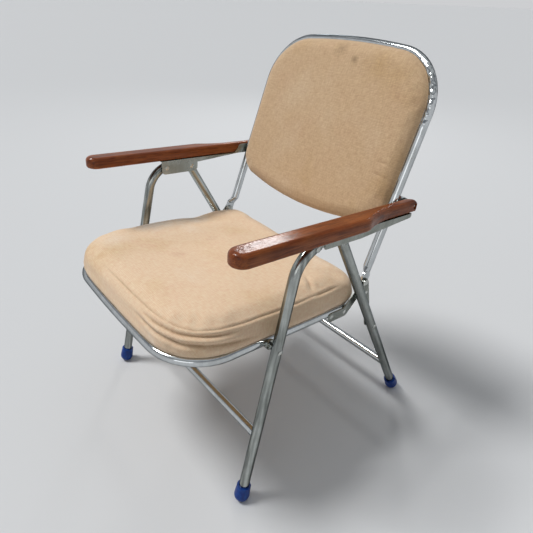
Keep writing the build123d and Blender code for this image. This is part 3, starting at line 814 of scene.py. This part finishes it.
@dataclass(frozen=True)
class SoftPanel:
    """An upholstered panel that swells from its solid. Heights n start at the panel's zero."""

    name: str
    node: str  # CAD node that it replaces
    body: str  # CAD body that it rides on
    panel: PanelFrame
    outline: Outline  # of its widest part
    fuller: Outline  # what the stuffed edge swells out to
    board_mm: float  # the board's inner face, as a height n
    floor_mm: float  # the panel's own back
    top_mm: float  # the solid's face
    slack_mm: float  # how much smaller the blank starts
    swell_mm: float  # furthest that the cloth may move
    voxel_mm: float  # size of the blank's mesh
    pressure: float  # of the filling
    fill: float  # tightness from 0, slack, to 1, full
    smoothing: int  # rounds of it after the simulation
    ripple_mm: float  # height of the cloth's ripples
    crown_mm: float  # rise of the middle over the edges
    fuller_mm: float = 90.0  # how far in from the edge it swells
    creases: tuple[Crease, ...] = ()
    dents: tuple[Dent, ...] = ()
    belly_mm: float = 0.0  # how far its side bellies out halfway up
    tuck_mm: float = 0.0  # how far its foot is drawn in to the frame
    roll_mm: float = 0.0  # how far in its edge rolls over
    edge_drop_mm: float = 0.0  # how much thinner its edge is
    edge_reach_mm: float = 30.0  # how far in from the edge it thins
    cut_mm: float = 1.0  # how far above the board the blank is cut
    hem_mm: float = 12.0  # how far the blank runs on below its back
    slack_rise: float = 0.25  # share of its height that takes up the slack
    tack_mm: float = 2.0  # height over its back up to which it is tacked
    sim_frames: int = 20  # length of the simulation
    side_mm: float = 30.0  # how far in from the outline its side goes on
    foot_mm: float = 18.0  # height of its foot
    dome_mm: float = 70.0  # how far in two thirds of the crown are reached
    roll_rest: float = 0.3  # share of its thickness at the very edge
    broad_mm: float = 60.0  # spacing of the broad ripples
    fine_mm: float = 24.0  # spacing of the fine ripples
    fine_share: float = 0.3  # height of the fine ripples beside the broad ones
    trim_mm: float = 0.4  # what is trimmed off its back
    pocket_share: float = 0.975  # size of the pocket's mouth beside the panel

    def blank(self) -> bpy.types.Object:
        """Cut the solid off above its board and close it.

        Returns:
            The blank as an object in panel coordinates.
        """
        blank = bmesh.new()
        blank.from_mesh(frame["nodes"][self.node].data)
        bmesh.ops.transform(blank, matrix=self.panel.matrix().inverted(), verts=blank.verts)
        bmesh.ops.remove_doubles(blank, verts=blank.verts, dist=1e-6)
        cut = self.board_mm + self.cut_mm
        cut_below(blank, cut)
        hem, _ = extruded(blank, open_edges(blank.edges))
        drop = Vector((0, 0, (self.floor_mm - self.hem_mm - cut) * MM))
        bmesh.ops.translate(blank, vec=drop, verts=hem)
        bmesh.ops.holes_fill(blank, edges=open_edges(blank.edges))
        bmesh.ops.recalc_face_normals(blank, faces=blank.faces)
        mesh = bpy.data.meshes.new(self.name)
        blank.to_mesh(mesh)
        blank.free()
        return new_object(self.name, mesh)

    def applied(self, piece: bpy.types.Object) -> None:
        """Turn the cover's modifiers into its mesh.

        Args:
            piece: The cover.
        """
        graph = bpy.context.evaluated_depsgraph_get()
        mesh = bpy.data.meshes.new_from_object(piece.evaluated_get(graph))
        piece.modifiers.clear()
        piece.data = mesh

    def remeshed(self, piece: bpy.types.Object) -> None:
        """Give the blank an even mesh, and draw it in where the filling will push it out.

        Args:
            piece: The blank.
        """
        remesh = piece.modifiers.new("even_mesh", "REMESH")
        remesh.mode = "VOXEL"
        remesh.voxel_size = self.voxel_mm * MM
        self.applied(piece)
        places = mesh_points(piece.data) / MM
        free = np.clip((places[:, 2] - self.floor_mm) / (self.top_mm - self.floor_mm), 0, 1)
        side = np.clip(free / self.slack_rise, 0, 1) * self.slack_mm
        middle = self.outline.middle
        places[:, 0] *= 1 - side / self.outline.half_width
        places[:, 1] = middle + (places[:, 1] - middle) * (1 - side / self.outline.half_length)
        places[:, 2] -= free * self.slack_mm
        set_mesh_points(piece.data, places * MM)

    def swollen(self, piece: bpy.types.Object) -> None:
        """Blow the cover up with the filling's pressure, and hold its back to the board.

        Args:
            piece: The cover.
        """
        rest = mesh_points(piece.data)
        held = piece.vertex_groups.new(name="tacked")
        tacked = np.nonzero(rest[:, 2] < (self.floor_mm + self.tack_mm) * MM)[0]
        held.add([int(i) for i in tacked], 1.0, "REPLACE")
        cloth = piece.modifiers.new("cover", "CLOTH")
        settings = cloth.settings
        settings.quality = 4
        settings.mass = 0.3
        settings.tension_stiffness = 12
        settings.compression_stiffness = 12
        settings.shear_stiffness = 4
        settings.bending_stiffness = 0.6
        settings.use_pressure = True
        settings.uniform_pressure_force = self.pressure
        settings.vertex_group_mass = held.name
        settings.effector_weights.gravity = 0
        scene = bpy.context.scene
        for step in range(1, self.sim_frames + 1):
            scene.frame_set(step)
        graph = bpy.context.evaluated_depsgraph_get()
        move = mesh_points(piece.evaluated_get(graph).data) - rest
        piece.modifiers.clear()
        scene.frame_set(1)
        length = np.maximum(np.linalg.norm(move, axis=1, keepdims=True), 1e-9)
        set_mesh_points(piece.data, rest + move * np.minimum(1, self.swell_mm * MM / length))

    def smoothed(self, piece: bpy.types.Object) -> None:
        """Smooth the simulation's small ripples and divide the mesh once.

        Args:
            piece: The cover.
        """
        smooth = piece.modifiers.new("smooth", "SMOOTH")
        smooth.factor = 0.5
        smooth.iterations = self.smoothing
        divide = piece.modifiers.new("divide", "SUBSURF")
        divide.levels = 1
        divide.render_levels = 1
        self.applied(piece)

    def shaped(self, piece: bpy.types.Object) -> None:
        """Crown the panel, press its dents, and draw its seams and creases in.

        Args:
            piece: The cover.
        """
        places = mesh_points(piece.data) / MM
        upper = np.clip((places[:, 2] - self.board_mm) / (self.top_mm - self.board_mm), 0, 1)
        inset = self.outline.inset(places)
        outward = self.outline.outward(places)
        reach = np.clip(1 - inset / self.fuller_mm, 0, 1)
        grow = (self.fuller.inset(places) - inset) * eased(reach)
        places[:, :2] += outward * np.clip(grow, 0, self.fuller_mm)[:, None]

        height = places[:, 2] - self.floor_mm
        raised = np.clip(height / (self.top_mm - self.floor_mm), 0, 1)
        bulge = self.belly_mm * np.sin(np.pi * raised)
        bulge -= self.tuck_mm * np.clip(1 - height / self.foot_mm, 0, 1) ** 2
        rim = np.clip(1 - inset / self.side_mm, 0, 1)
        places[:, :2] += outward * (bulge * rim)[:, None]

        depth = np.maximum(inset, 0)
        if self.roll_mm > 0:
            rise = np.clip(depth / self.roll_mm, 0, 1)
            rolled = self.roll_rest + (1 - self.roll_rest) * np.sqrt(1 - (1 - rise) ** 2)
            places[:, 2] = self.floor_mm + height * np.where(height > 0, rolled, 1)
        lift = self.crown_mm * (1 - np.exp(-depth / self.dome_mm))
        lift -= self.edge_drop_mm * np.exp(-depth / self.edge_reach_mm)
        lift -= sum(dent.drop(places) for dent in self.dents)
        places[:, 2] += lift * upper
        set_mesh_points(piece.data, places * MM)

        normals = np.array([p.normal for p in piece.data.vertices])
        push = np.zeros(len(places))
        dust_and_shade = np.zeros(len(places))
        for crease in self.creases:
            pressed, dusted_and_shaded = crease.press(places)
            push += pressed
            dust_and_shade = np.maximum(dust_and_shade, dusted_and_shaded)
        push += self.ripple_mm * self.rippled(places) * upper
        places += normals * push[:, None]
        set_mesh_points(piece.data, places * MM)
        # The crease attribute says where dust and painted shade darken the cloth.
        held = piece.data.attributes.new("crease", "FLOAT", "POINT")
        held.data.foreach_set("value", dust_and_shade.astype(np.float32))
        self.unrolled(piece, places, outward)

    def rippled(self, places: np.ndarray) -> np.ndarray:
        """Broad and fine ripples of the cloth.

        Args:
            places: Points in panel millimetres, one a row.

        Returns:
            Height of the ripples at each place, about -1 to 1.
        """
        broad = np.array([noise.noise(Vector(p)) for p in places / self.broad_mm])
        fine = np.array([noise.noise(Vector(p)) for p in places / self.fine_mm])
        return broad + self.fine_share * fine

    def unrolled(self, piece: bpy.types.Object, places: np.ndarray, outward: np.ndarray) -> None:
        """Give the cover a UV map in metres that runs on over its edges, as cloth does.

        Args:
            piece: The cover.
            places: Its points in panel millimetres.
            outward: Direction out of the outline at each point.
        """
        drop = np.maximum(self.top_mm - places[:, 2], 0)
        flat = (places[:, :2] + outward * drop[:, None]) * MM
        corners = np.empty(len(piece.data.loops), np.int32)
        piece.data.loops.foreach_get("vertex_index", corners)
        layer = piece.data.uv_layers.new(name="unrolled")
        layer.data.foreach_set("uv", flat[corners].astype(np.float32).ravel())

    def backed(self, piece: bpy.types.Object) -> None:
        """Open a pocket for the board in the panel's back and place the panel on the chair.

        Args:
            piece: The cover.
        """
        soft = bmesh.new()
        soft.from_mesh(piece.data)
        cut_below(soft, self.floor_mm + self.trim_mm)
        mouth, lip = extruded(soft, open_edges(soft.edges))
        size = (self.pocket_share, self.pocket_share, 1)
        centre = Matrix.Translation((0, -self.outline.middle * MM, 0))
        bmesh.ops.scale(soft, vec=size, space=centre, verts=mouth)
        bottom, _ = extruded(soft, open_edges(lip))
        rise = Vector((0, 0, (self.board_mm - self.floor_mm) * MM))
        bmesh.ops.translate(soft, vec=rise, verts=bottom)
        bmesh.ops.holes_fill(soft, edges=open_edges(soft.edges))
        bmesh.ops.transform(soft, matrix=self.panel.matrix(), verts=soft.verts)
        bmesh.ops.recalc_face_normals(soft, faces=soft.faces)
        for face in soft.faces:
            face.smooth = True
        soft.to_mesh(piece.data)
        soft.free()

    def make(self, cloth: bpy.types.Material) -> bpy.types.Object:
        """Build the panel, dress it and hand it to its body.

        Args:
            cloth: Material of the cover.

        Returns:
            The finished piece.
        """
        piece = self.blank()
        self.remeshed(piece)
        self.swollen(piece)
        self.smoothed(piece)
        self.shaped(piece)
        self.backed(piece)
        piece.data.materials.clear()
        piece.data.materials.append(cloth)
        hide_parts(self.node)
        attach(piece, self.body)
        log.info("%s: %d faces", self.name, len(piece.data.polygons))
        return piece


# ---------------- sub-assemblies
@dataclass(frozen=True)
class Upholstery:
    """The seat cushion and the back pad, both in the same cloth."""

    seat_slope_deg: float = 4.67
    seat_zero_mm: tuple[float, float] = (-332.4, 392.8)
    back_lean_deg: float = 22.08
    back_zero_mm: tuple[float, float] = (144.2, 406.3)
    # Colours of the marks that wear and spills leave, and of the painted light on the seat's far
    # side.
    rosy: str = "#C98F74"
    painted_light_pale: str = "#F6EADB"

    def seat_frame(self) -> PanelFrame:
        """Work out how the seat lies.

        Returns:
            Frame whose s runs rearwards and whose n runs up.
        """
        sine = math.sin(math.radians(self.seat_slope_deg))
        cosine = math.cos(math.radians(self.seat_slope_deg))
        return PanelFrame(self.seat_zero_mm, (cosine, -sine), (sine, cosine))

    def back_frame(self) -> PanelFrame:
        """Work out how the back lies.

        Returns:
            Frame whose s runs up and whose n runs forwards.
        """
        sine = math.sin(math.radians(self.back_lean_deg))
        cosine = math.cos(math.radians(self.back_lean_deg))
        return PanelFrame(self.back_zero_mm, (sine, cosine), (-cosine, sine))

    def seams(self) -> tuple[Crease, ...]:
        """Lay out the cushion's seams and folds.

        Returns:
            The cushion's creases.
        """
        return (
            # the seam along its top edge
            Crease(
                (
                    (-120, 13, 66), (0, 13, 67), (101, 15, 67), (149, 17, 67), (191, 27, 66),
                    (224, 48, 65), (243, 83, 64), (250, 122, 63), (251, 167, 62), (253, 219, 61),
                    (252, 290, 61), (252, 331, 61), (250, 362, 62), (247, 404, 60),
                ),
                depth_mm=1.5, width_mm=2.4, swell_mm=0.5, fade=0.2, dust_and_shade=0.5,
            ),
            # two folds round its left front corner
            Crease(
                (
                    (90, 2, 62), (124, 2, 61), (169, 6, 60), (210, 22, 58),
                    (235, 47, 57), (252, 78, 55), (259, 117, 53), (261, 150, 52),
                ),
                depth_mm=3.2, width_mm=3.6, swell_mm=1.6, fade=0.3,
            ),
            Crease(
                (
                    (60, -8, 49), (114, -7, 47), (162, -4, 45), (210, 14, 41),
                    (240, 44, 38), (258, 82, 35), (262, 131, 30), (262, 190, 27),
                ),
                depth_mm=3.0, width_mm=4.0, swell_mm=1.6, fade=0.3,
            ),
            # the seam at its left rear corner, and the crease across that corner
            Crease(
                ((256, 322, 59), (252, 350, 61), (250, 385, 60), (247, 408, 57)),
                depth_mm=2.0, width_mm=3.0, swell_mm=0.6, fade=0.35, dust_and_shade=0.6,
            ),
            Crease(
                ((188, 348, 68), (212, 340, 68), (248, 324, 65)),
                depth_mm=2.2, width_mm=5.0, swell_mm=1.0, fade=0.4, dust_and_shade=0.4,
            ),
        )

    def cushion(self) -> SoftPanel:
        """Lay out the cushion, a boxed foam block whose top edge is seamed all round.

        Returns:
            The cushion.
        """
        return SoftPanel(
            name="seat_cushion_cover", node="seat_cushion", body="seat", panel=self.seat_frame(),
            outline=Outline(260.5, -8.5, 467.5, 116.5, 100.0, low_crown=9.4),
            board_mm=18.5, floor_mm=9.5, top_mm=67.5, slack_mm=2.0, swell_mm=7.0, voxel_mm=5.0,
            pressure=4.0, fill=0.7, smoothing=14, ripple_mm=0.7, crown_mm=5.0,
            fuller=Outline(262.0, -8.5, 482.0, 116.5, 66.0, low_crown=9.4),
            creases=self.seams(),
            dents=(
                Dent(-216, 340, 65, 55, 9),
                Dent(-150, 452, 120, 50, -8),
                Dent(20, 230, 170, 130, 4),
            ),
            belly_mm=2.0, tuck_mm=7.0,
        )

    def tucks(self) -> tuple[Crease, ...]:
        """Lay out two tucks in the pad's left side and the long fold in its middle, all faint.

        Returns:
            The pad's creases.
        """
        return (
            Crease(
                ((250, 221, 22), (229, 229, 26), (187, 232, 28)),
                depth_mm=0.9, width_mm=4.0, fade=0.45, dust_and_shade=0.2,
            ),
            Crease(
                ((252, 252, 22), (230, 256, 26), (184, 257, 28)),
                depth_mm=0.8, width_mm=4.0, fade=0.45, dust_and_shade=0.15,
            ),
            Crease(
                ((-6, 364, 29), (18, 327, 30), (65, 273, 30), (96, 240, 30)),
                depth_mm=0.5, width_mm=5.0, fade=0.45, dust_and_shade=0.1,
            ),
        )

    def pad(self) -> SoftPanel:
        """Lay out the pad, thin foam pulled over a board, flat in the middle and round-edged.

        Returns:
            The pad.
        """
        return SoftPanel(
            name="back_pad_cover", node="back_pad", body="back", panel=self.back_frame(),
            outline=Outline(247.5, 103.0, 495.5, 62.0, 115.5, low_crown=34.0, high_crown=20.0),
            board_mm=15.5, floor_mm=9.5, top_mm=27.0, slack_mm=1.5, swell_mm=4.0, voxel_mm=4.0,
            pressure=3.0, fill=0.6, smoothing=10, ripple_mm=0.45, crown_mm=5.0,
            fuller=Outline(249.5, 101.0, 498.0, 62.0, 117.0, low_crown=34.0, high_crown=20.0),
            fuller_mm=60.0,
            creases=self.tucks(),
            roll_mm=15.0, edge_drop_mm=1.5, edge_reach_mm=40.0,
        )

    def make(self) -> None:
        """Build both soft pieces in their cloth."""
        seat, back = self.seat_frame(), self.back_frame()
        seat_cloth = WovenCloth(
            name="woven_cotton_seat",
            stains=(
                Stain(seat.point(-31, 169, 70), 20.0, 0.35, self.rosy),
                Stain(seat.point(-66, 277, 70), 16.0, 0.3, self.rosy),
                Stain(seat.point(-190, 12, 50), 50.0, 0.4, "#CFA768"),
                Stain(seat.point(-120, 40, 68), 60.0, 0.3, "#D9B783"),
                # Painted light: pale patches on the seat's far side, where light falls brightest.
                Stain(seat.point(-212, 194, 66), 55.0, 0.75, self.painted_light_pale),
                Stain(seat.point(-213, 308, 64), 55.0, 0.7, self.painted_light_pale),
                Stain(seat.point(-168, 78, 66), 45.0, 0.5, "#F2E2CC"),
            ),
        )
        # A darker copy of the seat's cloth: partly its own greyer tone, partly painted shade on the
        # pad's front, which gets less light.
        back_cloth = WovenCloth(
            name="woven_cotton_back",
            base="#D2B28D", pale="#D9BD9B", soiled="#C7A478", flushed="#CEA786",
            stains=(
                Stain(back.point(42, 450, 30), 12.0, 0.55),
                Stain(back.point(-8, 472, 28), 20.0, 0.35),
                Stain(back.point(234, 452, 20), 12.0, 0.75),
                Stain(back.point(232, 385, 20), 5.0, 0.6),
            ),
        )
        self.cushion().make(seat_cloth.make())
        self.pad().make(back_cloth.make())


@dataclass(frozen=True)
class Hardware:
    """The rigid pieces from the frame, each dressed in the finish of its slot."""

    wood: VarnishedWood = VarnishedWood()
    # Its glancing tint is darker still: painted shade along the tubes' outlines.
    chrome: PlatedSteel = PlatedSteel(
        name="chrome_plate", glancing="#4C5054",
        crazed_at_mm=(245.0, 315.0, 795.0), crazed_reach_mm=95.0,
    )
    # The legs lean differently, and their streaks follow them.
    front_leg: PlatedSteel = PlatedSteel(
        name="aged_chrome_plate_front", metal="#B9BDBA", tarnish="#8A8E86",
        tarnish_share=0.6, rust_share=0.48, streak_share=0.6, lean_deg=-11.3,
        roughness=0.12, roughness_spread=0.1,
    )
    # The rear legs' copy is also paler than the front legs': that paleness is painted light.
    rear_leg: PlatedSteel = replace(
        front_leg, name="aged_chrome_plate_rear", metal="#C6CAC7", tarnish="#A0A49C",
        streak_share=0.35, lean_deg=27.4,
    )
    fastener: PlatedSteel = PlatedSteel(
        name="bright_zinc", metal="#C9CBC6", roughness=0.2, roughness_spread=0.15
    )
    sheet: PlatedSteel = replace(
        fastener, name="zinc_plated_sheet", metal="#A8ABA5", tarnish="#7A7D74",
        tarnish_share=0.7, rust_share=0.48,
    )
    vinyl: MouldedVinyl = MouldedVinyl()
    plywood: RawPlywood = RawPlywood()

    def make(self) -> None:
        """Give every rigid node the material of its slot."""
        finishes = {
            Slot.ARM_WOOD: self.wood,
            Slot.CHROME_TUBE: self.chrome,
            Slot.LEG_TUBE: self.front_leg,
            Slot.PLATED_SHEET: self.sheet,
            Slot.FASTENER_STEEL: self.fastener,
            Slot.FOOT_VINYL: self.vinyl,
            Slot.PLYWOOD: self.plywood,
        }
        made = {slot.value: finish.make() for slot, finish in finishes.items()}
        behind = self.rear_leg.make()
        for part in frame["record"]["subparts"]:
            slot = part["material_slot"]
            if slot not in made:
                continue
            leans_back = slot == Slot.LEG_TUBE.value and part["node"].startswith("rear_leg")
            mesh = frame["nodes"][part["node"]].data
            mesh.materials.clear()
            mesh.materials.append(behind if leans_back else made[slot])
            log.info("%s: %s", part["node"], slot)


@dataclass(frozen=True)
class Lamp:
    """Lamp that faces the chair: a soft rectangle, or broad and far daylight."""

    name: str
    place: Triple  # where its light comes from, in metres
    power: float  # watts, or watts per square metre for daylight
    size: tuple[float, float] = (0.0, 0.0)  # of a rectangle, in metres
    spread_deg: float = 0.0  # width of daylight in the sky, which softens its shadows
    aim_height: float = 0.45  # where it points over the chair's middle, in metres

    def make(self) -> None:
        """Hang the lamp."""
        light = bpy.data.lights.new(self.name, "SUN" if self.spread_deg else "AREA")
        if self.spread_deg:
            light.angle = math.radians(self.spread_deg)
        else:
            light.shape = "RECTANGLE"
            light.size, light.size_y = self.size
        light.energy = self.power
        lamp = new_object(self.name, light)
        lamp.location = self.place
        way = Vector((0, 0, self.aim_height)) - Vector(self.place)
        lamp.rotation_euler = way.to_track_quat("-Z", "Y").to_euler()


@dataclass(frozen=True)
class Studio:
    """Pale floor, grey room, soft lamps and the camera."""

    floor_colour: str = "#CFD0D1"
    floor_size: float = 80.0
    lamps: tuple[Lamp, ...] = (
        Lamp("daylight", (-1.05, -0.75, 2.1), 2.25, spread_deg=18.0, aim_height=0.0),
        Lamp("fill", (1.6, -2.4, 1.6), 5.0, (1.6, 1.2)),
        Lamp("window", (-2.5, 2.45, 2.2), 14.0, (0.5, 0.35)),
    )
    eye_mm: Triple = (800.8, -597.8, 970.8)
    yaw_deg: float = 50.04
    pitch_deg: float = 30.7
    roll_deg: float = 1.2
    lens_mm: float = 31.63
    sensor_mm: float = 36.0
    nearest: float = 0.05

    def floor(self) -> None:
        """Lay a matt floor that is far larger than the view."""
        ground = bmesh.new()
        bmesh.ops.create_grid(ground, x_segments=1, y_segments=1, size=self.floor_size / 2)
        mesh = bpy.data.meshes.new("floor")
        ground.to_mesh(mesh)
        ground.free()
        floor = new_object("floor", mesh)
        material = bpy.data.materials.new("matt_floor")
        material.use_nodes = True
        shader = next(n for n in material.node_tree.nodes if n.type == "BSDF_PRINCIPLED")
        shader.inputs["Base Color"].default_value = linear(self.floor_colour)
        shader.inputs["Roughness"].default_value = 0.85
        mesh.materials.append(material)

    def sky(self) -> None:
        """Surround the chair with a grey room that is paler overhead.

        What the camera, gloss and glass see of the room is as pale as the floor at the horizon.
        """
        world = bpy.data.worlds.new("room")
        world.use_nodes = True
        tree = world.node_tree
        glow = next(n for n in tree.nodes if n.type == "BACKGROUND")
        graph = Graph(tree, add_node(tree, "ShaderNodeTexCoord", {}).outputs["Generated"])
        height = graph.add("ShaderNodeSeparateXYZ", "Z", {0: graph.place})
        bands = ((0.57, "#AAADB2"), (0.7, "#5F6368"), (0.85, "#C0C3C5"))
        lit = graph.ramp(height, ((0.0, "#5A5C5E"), (0.35, "#42454A"), *bands))
        pale = "#CDCED0"
        shown = graph.ramp(height, ((0.0, pale), (0.47, pale), (0.51, "#4A4E53"), *bands))
        sees = add_node(tree, "ShaderNodeLightPath", {}).outputs
        seen = graph.maths("ADD", sees["Is Camera Ray"], sees["Is Glossy Ray"])
        seen = graph.maths("ADD", seen, sees["Is Transmission Ray"], clamp=True)
        tree.links.new(graph.mix(seen, lit, shown), glow.inputs["Color"])
        glow.inputs["Strength"].default_value = 1.0
        bpy.context.scene.world = world

    def camera(self) -> None:
        """Set the camera up at its own place, turn and tilt."""
        yaw, pitch, roll = (math.radians(a) for a in (self.yaw_deg, self.pitch_deg, self.roll_deg))
        level = math.cos(pitch)
        ahead = Vector((-math.sin(yaw) * level, math.cos(yaw) * level, -math.sin(pitch)))
        right = Vector((math.cos(yaw), math.sin(yaw), 0))
        up = right.cross(ahead)
        turned_right = right * math.cos(roll) + up * math.sin(roll)
        turned_up = -right * math.sin(roll) + up * math.cos(roll)
        lens = bpy.data.cameras.new("camera")
        lens.lens = self.lens_mm
        lens.sensor_width = self.sensor_mm
        lens.clip_start = self.nearest
        camera = new_object("camera", lens)
        turn = Matrix((turned_right, turned_up, -ahead)).transposed().to_4x4()
        camera.matrix_world = Matrix.Translation(Vector(self.eye_mm) * MM) @ turn
        bpy.context.scene.camera = camera

    def make(self) -> None:
        """Build the studio."""
        self.floor()
        self.sky()
        for lamp in self.lamps:
            lamp.make()
        self.camera()
        bpy.context.scene.view_settings.view_transform = "Standard"
        log.info("studio: floor, room, %d lamps and camera", len(self.lamps))


def main() -> None:
    """Build the chair's finishes, its upholstery and the studio."""
    logging.basicConfig(level=logging.INFO, format="%(name)s: %(message)s")
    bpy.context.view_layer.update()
    Studio().make()
    Hardware().make()
    Upholstery().make()


if __name__ == "__main__":
    main()
